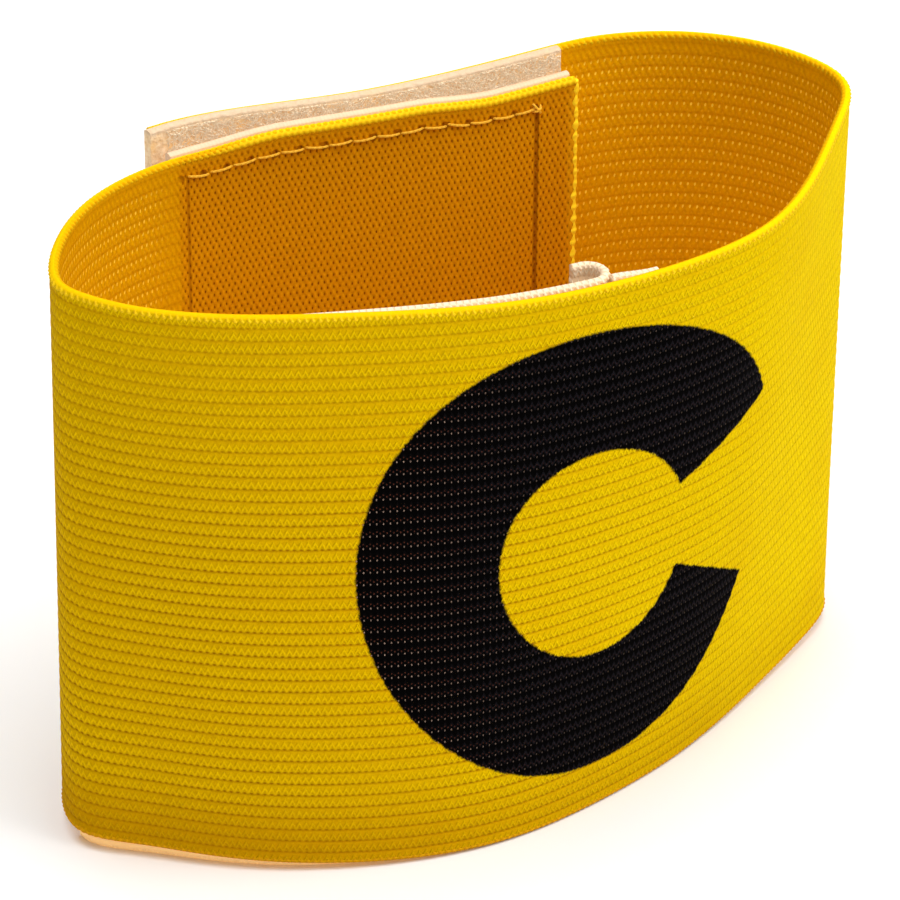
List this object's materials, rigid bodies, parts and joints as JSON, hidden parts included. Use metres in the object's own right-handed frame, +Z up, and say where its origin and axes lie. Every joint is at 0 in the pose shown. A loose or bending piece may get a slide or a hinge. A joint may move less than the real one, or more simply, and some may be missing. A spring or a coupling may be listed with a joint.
{
  "type": "captain armband",
  "caption": "Knitted elastic captain armband, wrapped into a loop on its edge and closed by hook and loop tape, with a printed C.",
  "frame": {"origin": "centre of the armband's own box, on the surface that its lower edge stands on", "axes": "+Z up across the strip, +X along the loop's long way, the printed front faces -Y"},
  "size_m": [0.112, 0.0568, 0.0829],
  "materials": {
    "yellow_knit": "matt ribbed knit of elastic, bright yellow, with a black printed C",
    "cream_hook": "smooth woven cream hook tape",
    "cream_pile": "fuzzy cream loop tape",
    "cream_knit": "matt ribbed knit, cream"
  },
  "bodies": {
    "root": {"band": "yellow_knit", "hook_tape": "cream_hook", "loop_tape": "cream_pile", "lining": "cream_knit", "lining_stub": "cream_knit"}
  },
  "joints": []
}
